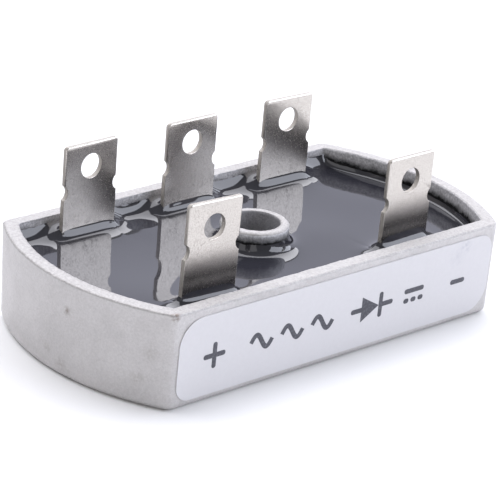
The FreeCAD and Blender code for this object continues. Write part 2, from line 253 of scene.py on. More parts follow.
@dataclass(frozen=True)
class StainedCastWall(Finish):
    """Cast aluminium stained by resin: rough and grey where it stayed dry, black where it was wetted."""

    name: str = "cast_aluminium_resin_stained"
    dry: str = "#D6D5D7"
    stained: str = "#A4A3A6"
    wetted: str = "#0B0B0C"
    metallic: float = 0.4
    roughness: float = 0.6
    wet_roughness: float = 0.25
    # The casting's grain is about 0.1 mm, drawn twice as coarse, so that it shows.
    grain_mm: float = 0.22
    grain_height_mm: float = 0.05
    grain_span: Span = Span(0.35, 0.65)
    wet_level: float = 8.45
    dry_level: float = 9.2
    # The stain's edge wavers by ragged_mm in patches, and lies low_drop lower away from the back wall.
    ragged_mm: float = 0.18
    patch_mm: float = 0.8
    patch_span: Span = Span(0.3, 0.7)
    low_drop: float = 0.25
    back_wall: Span = Span(8.5, 10.8)

    def surface(self, tree: Tree, place: Socket) -> dict:
        """Adds the nodes of the grain and of the stain with its ragged edge.

        Args:
            tree: The node tree that gets them.
            place: The object coordinates.

        Returns:
            The shader's inputs.
        """
        grain = add_node(tree, "TexNoise", {"Vector": place, "Scale": per_metre(self.grain_mm), "Detail": 3.0,
                                            "Roughness": 0.7})
        patch = add_node(tree, "TexNoise", {"Vector": place, "Scale": per_metre(self.patch_mm), "Detail": 4.0,
                                            "Roughness": 0.6})
        level = add_node(tree, "SeparateXYZ", {"Vector": place})
        ragged = add_node(tree, "MapRange", {"Value": patch, **self.patch_span.ends("From"),
                                             "To Min": -self.ragged_mm * MM, "To Max": self.ragged_mm * MM})
        drop = add_node(tree, "MapRange", {"Value": level.outputs["Y"], "From Min": self.back_wall.start * MM,
                                           "From Max": self.back_wall.end * MM, "To Min": self.low_drop * MM,
                                           "To Max": 0.0})
        rugged = add_node(tree, "Math", {0: drop, 1: ragged}, operation="ADD")
        height = add_node(tree, "Math", {0: level.outputs["Z"], 1: rugged}, operation="ADD")
        dryness = add_node(tree, "MapRange", {"Value": height, "From Min": self.wet_level * MM,
                                              "From Max": self.dry_level * MM})
        speck = add_node(tree, "MapRange", {"Value": grain, **self.grain_span.ends("From")})
        cast = add_node(tree, "Mix", {0: speck, 6: linear(self.stained), 7: linear(self.dry)},
                        data_type="RGBA")
        colour = add_node(tree, "Mix", {0: dryness, 6: linear(self.wetted), 7: cast}, data_type="RGBA")
        shine = add_node(tree, "MapRange", {"Value": dryness, "To Min": self.wet_roughness,
                                            "To Max": self.roughness})
        bump = add_node(tree, "Bump", {"Height": grain, "Strength": 1.0,
                                       "Distance": self.grain_height_mm * MM})
        return {"Base Color": colour, "Metallic": self.metallic, "Roughness": shine, "Normal": bump}


@dataclass(frozen=True)
class GrainyFinish(Finish):
    """A finish in two tones of one fine grain, which is its bump too."""

    light: str
    dark: str
    metallic: float
    roughness: float
    grain_mm: float
    grain_height_mm: float = 0.01
    grain_strength: float = 0.6
    # How rough the noise itself is, from even dots to jagged specks.
    jaggedness: float = 0.5

    def surface(self, tree: Tree, place: Socket) -> dict:
        """Adds the nodes of the grain.

        Args:
            tree: The node tree that gets them.
            place: The object coordinates.

        Returns:
            The shader's inputs.
        """
        grain = add_node(tree, "TexNoise", {"Vector": place, "Scale": per_metre(self.grain_mm), "Detail": 3.0,
                                            "Roughness": self.jaggedness})
        colour = add_node(tree, "Mix", {0: grain, 6: linear(self.dark), 7: linear(self.light)},
                          data_type="RGBA")
        bump = add_node(tree, "Bump", {"Height": grain, "Strength": self.grain_strength,
                                       "Distance": self.grain_height_mm * MM})
        return {"Base Color": colour, "Metallic": self.metallic, "Roughness": self.roughness, "Normal": bump}


@dataclass(frozen=True)
class PouredEpoxy(Finish):
    """Black filled epoxy, poured and cured: a near-black mirror with a few specks of dust on it."""

    name: str = "epoxy_potting_poured"
    body: str = "#29292F"
    dust: str = "#6C6C74"
    roughness: float = 0.035
    ior: float = 1.56
    dust_spacing_mm: float = 1.7
    # Real dust is finer. A speck is drawn just large enough to show, and its core is a share of it.
    dust_size_mm: float = 0.05
    dust_core: float = 0.6

    def surface(self, tree: Tree, place: Socket) -> dict:
        """Adds the nodes of the dust.

        Args:
            tree: The node tree that gets them.
            place: The object coordinates.

        Returns:
            The shader's inputs.
        """
        cells = add_node(tree, "TexVoronoi", {"Vector": place, "Scale": per_metre(self.dust_spacing_mm)})
        reach = self.dust_size_mm / self.dust_spacing_mm
        speck = add_node(tree, "MapRange", {"Value": cells, "From Min": reach * self.dust_core,
                                            "From Max": reach, "To Min": 1.0, "To Max": 0.0})
        colour = add_node(tree, "Mix", {0: speck, 6: linear(self.body), 7: linear(self.dust)},
                          data_type="RGBA")
        return {"Base Color": colour, "Roughness": self.roughness, "IOR": self.ior}


@dataclass(frozen=True)
class NickelPlatedStrip(Finish):
    """Rolled strip, nickel plated, then sheared: satin faces with a sandy speckle, flux stains low down and
    ragged dull edges."""

    name: str = "nickel_plated_strip"
    plating: str = "#CBC6C0"
    speckle: str = "#ABA6A0"
    sheared: str = "#A8A39D"
    stain: str = "#45423E"
    roughness: float = 0.21
    roughness_spread: Span = Span(-0.05, 0.08)
    gloss_span: Span = Span(0.35, 0.65)
    edge_roughness: float = 0.55
    edge_span: Span = Span(0.8, 0.4)
    # The plating's speckle and the shear's tears are about 0.05 mm wide, drawn coarser, so that they show.
    speckle_mm: float = 0.13
    speckle_height_mm: float = 0.005
    speckle_span: Span = Span(0.46, 0.66)
    tear_mm: float = 0.14
    tear_height_mm: float = 0.12
    stain_mm: float = 0.24
    stain_span: Span = Span(0.5, 0.6)
    stain_full: float = 8.6
    stain_gone: float = 11.0
    patch_mm: float = 2.6
    patch_span: Span = Span(0.44, 0.62)

    def edge_mask(self, tree: Tree) -> Node:
        """How far a spot lies on a sheared edge, from the way it faces.

        Args:
            tree: The node tree that gets the nodes.

        Returns:
            One on the sheared edges, none on the rolled faces.
        """
        facing = add_node(tree, "SeparateXYZ", {"Vector": add_node(tree, "NewGeometry").outputs["Normal"]})
        across = add_node(tree, "Math", {0: facing.outputs["Y"]}, operation="ABSOLUTE")
        return add_node(tree, "MapRange", {"Value": across, **self.edge_span.ends("From")})

    def stain_mask(self, tree: Tree, place: Socket) -> Node:
        """Where flux and resin stain the foot of a blade, in specks that gather in patches.

        Args:
            tree: The node tree that gets the nodes.
            place: The object coordinates.

        Returns:
            One on a stain, none on clean metal.
        """
        fleck = add_node(tree, "TexNoise", {"Vector": place, "Scale": per_metre(self.stain_mm), "Detail": 4.0,
                                            "Roughness": 0.75})
        patch = add_node(tree, "TexNoise", {"Vector": place, "Scale": per_metre(self.patch_mm),
                                            "Detail": 1.0})
        level = add_node(tree, "SeparateXYZ", {"Vector": place})
        low = add_node(tree, "MapRange", {"Value": level.outputs["Z"], "From Min": self.stain_gone * MM,
                                          "From Max": self.stain_full * MM})
        here = add_node(tree, "MapRange", {"Value": patch, **self.patch_span.ends("From")})
        gather = add_node(tree, "Math", {0: low, 1: here}, operation="MULTIPLY")
        speck = add_node(tree, "MapRange", {"Value": fleck, **self.stain_span.ends("From")})
        return add_node(tree, "Math", {0: gather, 1: speck}, operation="MULTIPLY")

    def surface(self, tree: Tree, place: Socket) -> dict:
        """Adds the nodes of the speckled faces, the torn edges and the stains.

        Args:
            tree: The node tree that gets them.
            place: The object coordinates.

        Returns:
            The shader's inputs.
        """
        grain = add_node(tree, "TexNoise", {"Vector": place, "Scale": per_metre(self.speckle_mm),
                                            "Detail": 4.0, "Roughness": 0.75})
        tear = add_node(tree, "TexNoise", {"Vector": place, "Scale": per_metre(self.tear_mm), "Detail": 4.0,
                                           "Roughness": 0.7})
        edge = self.edge_mask(tree)
        speck = add_node(tree, "MapRange", {"Value": grain, **self.speckle_span.ends("From")})
        face = add_node(tree, "Mix", {0: speck, 6: linear(self.plating), 7: linear(self.speckle)},
                        data_type="RGBA")
        torn = add_node(tree, "Math", {0: edge, 1: tear}, operation="MULTIPLY")
        colour = add_node(tree, "Mix", {0: edge, 6: face, 7: linear(self.sheared)}, data_type="RGBA")
        stained = add_node(tree, "Mix", {0: self.stain_mask(tree, place), 6: colour, 7: linear(self.stain)},
                           data_type="RGBA")
        face_rough = add_node(tree, "MapRange", {"Value": grain, **self.gloss_span.ends("From"),
                                                 "To Min": self.roughness + self.roughness_spread.start,
                                                 "To Max": self.roughness + self.roughness_spread.end})
        rough = add_node(tree, "MapRange", {"Value": edge, "To Min": face_rough,
                                            "To Max": self.edge_roughness})
        face_bump = add_node(tree, "Bump", {"Height": grain, "Strength": 1.0,
                                            "Distance": self.speckle_height_mm * MM})
        bump = add_node(tree, "Bump", {"Height": torn, "Strength": 1.0, "Distance": self.tear_height_mm * MM,
                                       "Normal": face_bump})
        return {"Base Color": stained, "Metallic": 1.0, "Roughness": rough, "Normal": bump}


@dataclass(frozen=True)
class LabelStock(Finish):
    """Smooth paper label stock: pale bluish white and matte, with a hardly visible fibre mottle."""

    name: str = "paper_label_stock"
    sheet: str = "#C9C8CB"
    fibre: str = "#C3C2C5"
    smudge: str = "#8F91A2"
    roughness: float = 0.5
    # Paper fibres are about 0.03 mm wide. Their mottle is drawn ten times as coarse, so that it shows.
    fibre_mm: float = 0.35
    fibre_height_mm: float = 0.004
    fibre_strength: float = 0.3
    spots: tuple[Spot, ...] = (Spot(16.2, -12.75, 8.1, 1.0, 0.4), Spot(15.2, -12.75, 7.3, 1.4, 0.18))

    def surface(self, tree: Tree, place: Socket) -> dict:
        """Adds the nodes of the fibres and the smudges.

        Args:
            tree: The node tree that gets them.
            place: The object coordinates.

        Returns:
            The shader's inputs.
        """
        fibre = add_node(tree, "TexNoise", {"Vector": place, "Scale": per_metre(self.fibre_mm),
                                            "Detail": 3.0})
        clean = add_node(tree, "Mix", {0: fibre, 6: linear(self.sheet), 7: linear(self.fibre)},
                         data_type="RGBA")
        colour = add_node(tree, "Mix", {0: spot_mask(tree, place, self.spots), 6: clean,
                                        7: linear(self.smudge)}, data_type="RGBA")
        bump = add_node(tree, "Bump", {"Height": fibre, "Strength": self.fibre_strength,
                                       "Distance": self.fibre_height_mm * MM})
        return {"Base Color": colour, "Roughness": self.roughness, "Normal": bump}


@dataclass(frozen=True)
class PrintedInk(Finish):
    """Thermal-transfer ink: flat dark grey, a little uneven where the ribbon printed thin."""

    name: str = "ink_thermal_print"
    ink: str = "#404048"
    thin: str = "#5A5A62"
    roughness: float = 0.55
    thin_mm: float = 0.25
    thin_span: Span = Span(0.45, 0.75)

    def surface(self, tree: Tree, place: Socket) -> dict:
        """Adds the nodes of the thin patches.

        Args:
            tree: The node tree that gets them.
            place: The object coordinates.

        Returns:
            The shader's inputs.
        """
        thin = add_node(tree, "TexNoise", {"Vector": place, "Scale": per_metre(self.thin_mm), "Detail": 3.0})
        patchy = add_node(tree, "MapRange", {"Value": thin, **self.thin_span.ends("From")})
        colour = add_node(tree, "Mix", {0: patchy, 6: linear(self.ink), 7: linear(self.thin)},
                          data_type="RGBA")
        return {"Base Color": colour, "Roughness": self.roughness}


@dataclass(frozen=True)
class PaperSweep(Finish):
    """Matte paper of a studio's floor: pale, plain and without a sheen."""

    name: str = "paper_sweep_matte"
    colour: str = "#DEDEDE"
    roughness: float = 0.95
    specular_level: float = 0.1

    def surface(self, tree: Tree, place: Socket) -> dict:
        """The shader's inputs. It needs no nodes of its own."""
        return {"Base Color": linear(self.colour), "Roughness": self.roughness,
                "Specular IOR Level": self.specular_level}


# The tube's outside is only black at its foot, and fades to the pale cast skin under its rim.
STAINED_TUBE = StainedCastWall(name="cast_aluminium_tube_skin", dry="#DCDCDE", stained="#AEAEB2",
                               wet_level=8.7, dry_level=9.35, low_drop=0.0, ragged_mm=0.12)

# The wall of the screw hole is as it was cast: dark grey, coarse and dull. Its grain is about 0.1 mm,
# drawn twice as coarse, so that it shows.
RAW_CAST_BORE = GrainyFinish("cast_aluminium_raw_bore", "#A9A8AB", "#69686B", 0.3, 0.75, 0.2,
                             grain_height_mm=0.06, grain_strength=1.0, jaggedness=0.7)

# Fired alumina is a chalky white, bare copper a warm satin, sawn silicon a dark grey with a sheen,
# and solder a dull pale grey. They are sealed in, so their grains are drawn coarse, for a cut view.
FIRED_ALUMINA = GrainyFinish("alumina_fired", "#EFEDE6", "#E2E0D8", 0.0, 0.6, 0.3)
BARE_COPPER = GrainyFinish("copper_strip_bare", "#D98A62", "#B86F4C", 1.0, 0.32, 0.8)
SAWN_SILICON = GrainyFinish("silicon_sawn", "#55565C", "#3B3C42", 0.6, 0.25, 0.2)
DULL_SOLDER = GrainyFinish("solder_reflowed", "#B9B9B6", "#9B9B98", 1.0, 0.42, 0.25)


def paint(piece: bpy.types.Object, *materials: bpy.types.Material) -> None:
    """Gives a piece its materials in order, in place of what it had."""
    piece.data.materials.clear()
    for material in materials:
        piece.data.materials.append(material)


def add_piece(name: str, shape: bmesh.types.BMesh, slot: str, *materials: bpy.types.Material,
              sharp_degrees: float = 35.0) -> bpy.types.Object:
    """Turns a finished bmesh into a piece that rides on the part's one body.

    Args:
        name: Name of the piece.
        shape: The piece's shape in metres, in its place. It is freed here.
        slot: Not used.
        *materials: The piece's materials, in the order of its material numbers.
        sharp_degrees: Edges that turn by more than this stay sharp in the shading.

    Returns:
        The new object.
    """
    mesh = bpy.data.meshes.new(name)
    shape.to_mesh(mesh)
    shape.free()
    mesh.shade_smooth()
    mesh.set_sharp_from_angle(angle=math.radians(sharp_degrees))
    piece = bpy.data.objects.new(name, mesh)
    bpy.context.scene.collection.objects.link(piece)
    for material in materials:
        mesh.materials.append(material)
    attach(piece, "root")
    LOG.info("%s: %d faces", name, len(mesh.polygons))
    return piece


def merged_copy(node: str) -> bmesh.types.BMesh:
    """A CAD node's mesh as one connected shape.

    Args:
        node: Name of the CAD node.

    Returns:
        A bmesh with the loose triangles' corners merged.
    """
    shape = bmesh.new()
    shape.from_mesh(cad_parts[node].data)
    bmesh.ops.remove_doubles(shape, verts=shape.verts, dist=MERGE)
    return shape


class CaseSkin(Enum):
    """The finishes of the case, by their material number."""

    BLASTED = 0
    STAINED = 1
    TUBE = 2
    RAW_BORE = 3


@dataclass
class CastCase:
    """The cast case: its CAD shape, with a real casting's grain along its rim and on its tube."""

    floor_level: float = 2.0
    tube_radius: float = 3.34
    bore_radius: float = 2.5
    tolerance: float = 0.05
    flat_from: float = 0.3
    rough_from: float = 8.6
    cut_above: float = 0.01
    facet: float = 0.42
    passes: int = 7
    grain_size: float = 0.55
    grain_height: float = 0.036
    fine_size: float = 0.45
    fine_height: float = 0.5
    sharp_degrees: float = 50.0
    blasted: BlastedCastAluminium = field(default_factory=BlastedCastAluminium)
    stained: StainedCastWall = field(default_factory=StainedCastWall)
    tube_skin: StainedCastWall = STAINED_TUBE
    raw_bore: GrainyFinish = RAW_CAST_BORE

    def skin_of(self, face: bmesh.types.BMFace) -> CaseSkin:
        """Which finish a face of the case has.

        Args:
            face: A face of the case.

        Returns:
            Stained for the pocket's walls and the outside of the tube, raw for the bore.
        """
        middle = face.calc_center_median() / MM
        if abs(face.normal.z) > self.flat_from:
            return CaseSkin.BLASTED
        across = math.hypot(middle.x, middle.y)
        if across < self.bore_radius + self.tolerance:
            return CaseSkin.RAW_BORE
        if across < self.tube_radius + self.tolerance:
            return CaseSkin.TUBE
        outward = face.normal.x * middle.x + face.normal.y * middle.y > 0
        return CaseSkin.BLASTED if outward or middle.z < self.floor_level else CaseSkin.STAINED

    def roughen(self, shape: bmesh.types.BMesh) -> None:
        """Divides the top of the case finely and gives it the uneven skin of a casting.

        A coarse grain carries a finer one, whose size and height are shares of the coarse one's.

        Args:
            shape: The case in metres, as triangles.
        """
        for _ in range(self.passes):
            long_edges = [edge for edge in shape.edges
                          if edge.calc_length() > self.facet * MM
                          and min(vert.co.z for vert in edge.verts) > self.rough_from * MM]
            if not long_edges:
                break
            bmesh.ops.subdivide_edges(shape, edges=long_edges, cuts=1)
            bmesh.ops.triangulate(shape, faces=[face for face in shape.faces if len(face.verts) > 3])
        shape.normal_update()
        moves = {}
        for vert in shape.verts:
            if vert.co.z > self.rough_from * MM:
                grain = noise.noise(vert.co / (self.grain_size * MM))
                finer = noise.noise(vert.co / (self.fine_size * self.grain_size * MM))
                grain += self.fine_height * finer
                moves[vert] = vert.normal * (grain * self.grain_height * MM)
        for vert, move in moves.items():
            vert.co += move

    def build(self) -> bpy.types.Object:
        """Builds the case.

        Returns:
            The piece that replaces the CAD node.
        """
        shape = merged_copy("case")
        bmesh.ops.bisect_plane(shape, geom=[*shape.verts, *shape.edges, *shape.faces], dist=ON_PLANE,
                               plane_co=(0, 0, (self.rough_from + self.cut_above) * MM),
                               plane_no=(0, 0, 1))
        bmesh.ops.triangulate(shape, faces=shape.faces)
        for face in shape.faces:
            face.material_index = self.skin_of(face).value
        self.roughen(shape)
        piece = add_piece("cast_case", shape, "case_metal", self.blasted.material(),
                          self.stained.material(), self.tube_skin.material(), self.raw_bore.material(),
                          sharp_degrees=self.sharp_degrees)
        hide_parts("case")
        return piece


@dataclass(frozen=True)
class Blade:
    """Where one blade stands at the potting, and how the potting climbs it.

    Its lean shifts it along X there. The creep is stretched sideways past the blade's ends, wetting scales
    its height and spread its reach.
    """

    node: str
    x: float
    y: float
    twist: float
    lean_shift: float
    side_stretch: float = 1.0
    wetting: float = 1.0
    spread: float = 1.0


BLADES = (
    Blade("ac_terminal_left", -12.55, 9.94, 0.3, -0.01, 1.6),
    Blade("ac_terminal_middle", 0.0, 9.94, -0.4, -0.01, 1.6),
    Blade("ac_terminal_right", 12.55, 9.94, -0.7, 0.03, 1.6),
    Blade("positive_terminal", -12.66, -7.64, -1.3, 0.06),
    Blade("negative_terminal", 12.03, -8.02, 2.0, 0.05, 1.0, 1.3, 1.55),
)


@dataclass
class Creep:
    """How the potting climbs what it meets: a steep foot close by, and a long slow slope further out."""

    height: float
    reach: float
    slow_height: float = 0.0
    slow_reach: float = 1.3

    def rise(self, gap: np.ndarray) -> np.ndarray:
        """Rise over the level at a distance from the wetted surface.

        Args:
            gap: Distances in millimetres.

        Returns:
            Rises in millimetres.
        """
        away = np.maximum(gap, 0.0)
        return self.height * np.exp(-away / self.reach) + self.slow_height * np.exp(-away / self.slow_reach)


@dataclass
class Bridge:
    """Potting drawn up between a back blade and the wall behind it, sloping away past the blade's ends."""

    height: float = 0.9
    run_out: float = 1.3
    depth: float = 1.35

    def rise(self, past_end: np.ndarray, from_wall: np.ndarray) -> np.ndarray:
        """Rise over the level.

        Args:
            past_end: Distances past the blade's end, along the wall.
            from_wall: Distances from the wall.

        Returns:
            Rises in millimetres.
        """
        off_wall = np.maximum(from_wall, 0.0) / self.depth
        return self.height * np.exp(-(past_end / self.run_out) ** 2 - off_wall ** 4)


@dataclass(frozen=True)
class Swell:
    """A broad low swell or hollow of the cured surface."""

    x: float
    y: float
    height: float
    spread: float


@dataclass(frozen=True)
class Crowding:
    """Where the rows of a grid lie closer together, to follow steep slopes."""

    spots: tuple[float, ...]
    width: float
    gain: float
    samples: int = 4001

    def place(self, even: np.ndarray, half: float) -> np.ndarray:
        """Moves evenly spaced rows closer to the spots.

        Args:
            even: Even places from minus one to one.
            half: Half the length that they are spread over.

        Returns:
            Crowded places from minus one to one.
        """
        line = np.linspace(-half, half, self.samples)
        density = 1.0 + sum(self.gain * np.exp(-((line - spot) / self.width) ** 2) for spot in self.spots)
        share = np.cumsum(density)
        share = 2 * (share - share[0]) / (share[-1] - share[0]) - 1
        return np.interp(even, share, line / half)


@dataclass
class PottingCompound:
    """The poured potting: a fine top surface with its creep, over the CAD's body.

    The top runs into the tube and the blades by bite, so that no gap shows, and no creep climbs past
    highest. The pocket's walls draw in by draft for each millimetre down.
    """

    level: float = 7.4
    rim_level: float = 9.6
    seam_level: float = 6.6
    half_width: float = 11.27
    half_length: float = 23.02
    bulge: float = 3.27
    draft: float = 0.15 / 7.6
    tube_radius: float = 3.34
    tube_sides: int = 96
    blade_width: float = 6.35
    blade_thickness: float = 0.5
    bite: float = 0.02
    columns: int = 330
    rows: int = 190
    weld: float = 0.006
    on_plane: float = 1e-6
    cut_margin: float = 1.0
    highest: float = 1.75
    back_creep: Creep = field(default_factory=lambda: Creep(0.95, 0.38, 0.5, 1.2))
    front_creep: Creep = field(default_factory=lambda: Creep(0.6, 0.25))
    end_creep: Creep = field(default_factory=lambda: Creep(0.6, 0.13))
    tube_creep: Creep = field(default_factory=lambda: Creep(0.95, 0.28, 0.3, 1.0))
    blade_creep: Creep = field(default_factory=lambda: Creep(1.05, 0.3, 0.16, 1.3))
    bridge: Bridge = field(default_factory=Bridge)
    swells: tuple[Swell, ...] = (Swell(-18.5, -4.5, 0.22, 4.2), Swell(-7.5, 2.5, -0.1, 5.0),
                                 Swell(6.5, -1.0, 0.06, 2.5), Swell(-6.3, 7.2, 0.03, 1.4),
                                 Swell(7.0, 7.6, -0.03, 1.6), Swell(17.5, 3.0, 0.08, 3.5))
    corner_drop: float = 0.35
    wave_height: float = 0.006
    sharp_degrees: float = 60.0
    row_crowding: Crowding = Crowding((-11.1, -8.2, -7.5, 9.6, 10.2, 11.1), 0.55, 2.2)
    column_crowding: Crowding = Crowding((-22.5, -15.8, -9.4, -3.2, 3.2, 9.2, 15.6, 22.5), 0.6, 1.4)
    finish: PouredEpoxy = field(default_factory=PouredEpoxy)

    @property
    def end_radius(self) -> float:
        """Radius of the pocket's round ends at the rim."""
        return (self.half_width ** 2 + self.bulge ** 2) / (2 * self.bulge)

    def drawn_in(self, level: float | np.ndarray) -> float | np.ndarray:
        """How far the pocket's wall lies inside its rim line at a level."""
        return self.draft * (self.rim_level - level)

    def end_at(self, across: np.ndarray, inset: float | np.ndarray) -> np.ndarray:
        """Where the round end lies along X.

        Args:
            across: Distances from the middle along Y.
            inset: How far the wall is drawn in there.

        Returns:
            Distances from the middle along X.
        """
        radius = self.end_radius - inset
        return self.half_length - self.end_radius + np.sqrt(radius ** 2 - across ** 2)

    def top_grid(self) -> bmesh.types.BMesh:
        """Flat fine grid in the pocket's outline at the potting's level, in millimetres.

        Returns:
            A bmesh whose rows end on the round ends.
        """
        inset = self.drawn_in(self.level)
        across = self.half_width - inset
        shape = bmesh.new()
        bmesh.ops.create_grid(shape, x_segments=self.columns, y_segments=self.rows, size=1.0)
        places = np.array([vert.co for vert in shape.verts])
        places[:, 0] = self.column_crowding.place(places[:, 0], self.half_length)
        places[:, 1] = self.row_crowding.place(places[:, 1], across)
        places[:, 1] *= across
        places[:, 0] *= self.end_at(places[:, 1], inset)
        places[:, 2] = self.level
        for vert, place in zip(shape.verts, places):
            vert.co = place
        return shape

    def cut_hole(self, shape: bmesh.types.BMesh, centre: Vector, sides: list[tuple[Vector, float]],
                 reach: float) -> None:
        """Cuts a hole with straight sides out of the flat grid.

        Args:
            shape: The grid.
            centre: Middle of the hole.
            sides: The outward direction and distance from the centre of each side.
            reach: Faces further than this from the centre are left alone.
        """
        for outward, distance in sides:
            near = [face for face in shape.faces if (face.calc_center_median() - centre).length < reach]
            edges = {edge for face in near for edge in face.edges}
            verts = {vert for face in near for vert in face.verts}
            bmesh.ops.bisect_plane(shape, geom=[*verts, *edges, *near], dist=self.on_plane,
                                   plane_co=centre + outward * distance, plane_no=outward)
        inside = [face for face in shape.faces
                  if all((face.calc_center_median() - centre).dot(outward) < distance
                         for outward, distance in sides)]
        bmesh.ops.delete(shape, geom=inside, context="FACES")

    def cut_openings(self, shape: bmesh.types.BMesh) -> None:
        """Cuts the openings for the tube and the five blades.

        Args:
            shape: The flat grid.
        """
        turns = [2 * math.pi * side / self.tube_sides for side in range(self.tube_sides)]
        ring = [(Vector((math.cos(turn), math.sin(turn), 0.0)), self.tube_radius - self.bite)
                for turn in turns]
        self.cut_hole(shape, Vector((0.0, 0.0, self.level)), ring, self.tube_radius + self.cut_margin)
        for blade in BLADES:
            along = Matrix.Rotation(math.radians(blade.twist), 3, "Z") @ Vector((1.0, 0.0, 0.0))
            across = Vector((-along.y, along.x, 0.0))
            half_x = self.blade_width / 2 - self.bite
            half_y = self.blade_thickness / 2 - self.bite
            sides = [(along, half_x), (-along, half_x), (across, half_y), (-across, half_y)]
            centre = Vector((blade.x + blade.lean_shift, blade.y, self.level))
            self.cut_hole(shape, centre, sides, self.blade_width / 2 + self.cut_margin)
        bmesh.ops.remove_doubles(shape, verts=shape.verts, dist=self.weld)

    def rise(self, x: np.ndarray, y: np.ndarray) -> np.ndarray:
        """Height of the top surface over the level.

        Args:
            x: Places along X in millimetres.
            y: Places along Y in millimetres.

        Returns:
            Rises in millimetres.
        """
        inset = self.drawn_in(self.level)
        centre_x = self.half_length - self.end_radius
        to_side = self.half_width - inset - np.abs(y)
        to_end = self.end_radius - inset - np.hypot(np.abs(x) - centre_x, y)
        side = np.where(y > 0, self.back_creep.rise(to_side), self.front_creep.rise(to_side))
        climbs = [side, self.end_creep.rise(to_end),
                  self.tube_creep.rise(np.hypot(x, y) - self.tube_radius + self.bite)]
        for blade in BLADES:
            turn = math.radians(blade.twist)
            off_x, off_y = x - blade.x - blade.lean_shift, y - blade.y
            along = np.abs(off_x * math.cos(turn) + off_y * math.sin(turn))
            across = np.abs(off_y * math.cos(turn) - off_x * math.sin(turn))
            past_x = np.maximum(along - self.blade_width / 2 + self.bite, 0.0)
            past_y = np.maximum(across - self.blade_thickness / 2 + self.bite, 0.0)
            share = np.minimum(along / (self.blade_width / 2), 1.0)
            climb = self.blade_creep.rise(np.hypot(past_x / blade.side_stretch, past_y) / blade.spread)
            climbs.append(climb * blade.wetting * (1 - self.corner_drop * share ** 6))
            if blade.y > 0:
                climbs.append(self.bridge.rise(past_x, self.half_width - inset - y))
        still_open = np.prod([1 - climb / self.highest for climb in climbs], axis=0)
        total = self.highest * (1 - still_open) + self.waves(x, y)
        for swell in self.swells:
            away = np.hypot(x - swell.x, y - swell.y) / swell.spread
            total += swell.height * np.exp(-away ** 2 / 2)
        return total

    def waves(self, x: np.ndarray, y: np.ndarray) -> np.ndarray:
        """The faint, slow waves of a cured surface, whose odd lengths nowhere line up.

        Args:
            x: Places along X in millimetres.
            y: Places along Y in millimetres.

        Returns:
            Rises in millimetres.
        """
        along = np.sin(x / 2.9 + 0.7 * np.sin(y / 3.7))
        across = np.sin(y / 2.3 + 1.1 + x / 7.0)
        return self.wave_height * (along + across)

    def raise_top(self, shape: bmesh.types.BMesh) -> None:
        """Lifts the flat grid to its final heights, and its rim out to the drafted wall.

        Args:
            shape: The flat grid, cut to its outline.
        """
        shape.verts.ensure_lookup_table()
        places = np.array([vert.co for vert in shape.verts])
        rises = self.rise(places[:, 0], places[:, 1])
        before = self.drawn_in(self.level)
        after = self.drawn_in(self.level + rises)
        across_ratio = (self.half_width - after) / (self.half_width - before)
        across = places[:, 1] * across_ratio
        along_ratio = self.end_at(across, after) / self.end_at(places[:, 1], before)
        for vert, row, z, stretch_x, y in zip(shape.verts, places, rises, along_ratio, across):
            vert.co = (row[0] * stretch_x, y, self.level + z)

    def close_below(self, shape: bmesh.types.BMesh) -> None:
        """Runs the top's borders down to the seam and closes it there.

        Args:
            shape: The raised top surface.
        """
        border = [edge for edge in shape.edges if edge.is_boundary]
        made = bmesh.ops.extrude_edge_only(shape, edges=border)["geom"]
        foot = [part for part in made if isinstance(part, bmesh.types.BMEdge)]
        for vert in {vert for edge in foot for vert in edge.verts}:
            vert.co.z = self.seam_level
        bmesh.ops.triangle_fill(shape, edges=foot, use_beauty=True)
        bmesh.ops.recalc_face_normals(shape, faces=shape.faces)

    def body_below(self) -> bmesh.types.BMesh:
        """The CAD's potting under the seam, closed at the seam.

        Returns:
            A bmesh in metres.
        """
        shape = merged_copy("potting_compound")
        cut = bmesh.ops.bisect_plane(shape, geom=[*shape.verts, *shape.edges, *shape.faces], dist=ON_PLANE,
                                     plane_co=(0, 0, self.seam_level * MM), plane_no=(0, 0, 1),
                                     clear_outer=True)["geom_cut"]
        rim = [part for part in cut if isinstance(part, bmesh.types.BMEdge)]
        bmesh.ops.triangle_fill(shape, edges=rim, use_beauty=True)
        return shape

    def build(self) -> bpy.types.Object:
        """Builds the potting.

        Returns:
            The piece that replaces the CAD node.
        """
        top = self.top_grid()
        self.cut_openings(top)
        self.raise_top(top)
        self.close_below(top)
        bmesh.ops.scale(top, vec=(MM, MM, MM), verts=top.verts)
        below = self.body_below()
        lower = bpy.data.meshes.new("potting_below")
        below.to_mesh(lower)
        below.free()
        top.from_mesh(lower)
        bpy.data.meshes.remove(lower)
        piece = add_piece("poured_potting", top, "potting", self.finish.material(),
                          sharp_degrees=self.sharp_degrees)
        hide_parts("potting_compound")
        return piece


@dataclass
class BladeTerminals:
    """The five stamped terminals, each its CAD shape with its edges broken."""

    edge_break: float = 0.035
    segments: int = 2
    flat_degrees: float = 0.5
    crease_degrees: float = 40.0
    sharp_degrees: float = 20.0
    finish: NickelPlatedStrip = field(default_factory=NickelPlatedStrip)

    def build(self) -> list[bpy.types.Object]:
        """Builds the terminals.

        Returns:
            The five pieces that replace the CAD nodes.
        """
        material = self.finish.material()
        made = []
        for blade in BLADES:
            shape = merged_copy(blade.node)
            bmesh.ops.dissolve_limit(shape, angle_limit=math.radians(self.flat_degrees), verts=shape.verts,
                                     edges=shape.edges)
            sharp = [edge for edge in shape.edges
                     if edge.is_manifold and edge.calc_face_angle() > math.radians(self.crease_degrees)]
            bmesh.ops.bevel(shape, geom=sharp, offset=self.edge_break * MM, offset_type="OFFSET",
                            affect="EDGES", segments=self.segments, profile=0.5, material=-1)
            piece = add_piece("stamped_" + blade.node, shape, "blade_metal", material,
                              sharp_degrees=self.sharp_degrees)
            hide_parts(blade.node)
            made.append(piece)
        return made


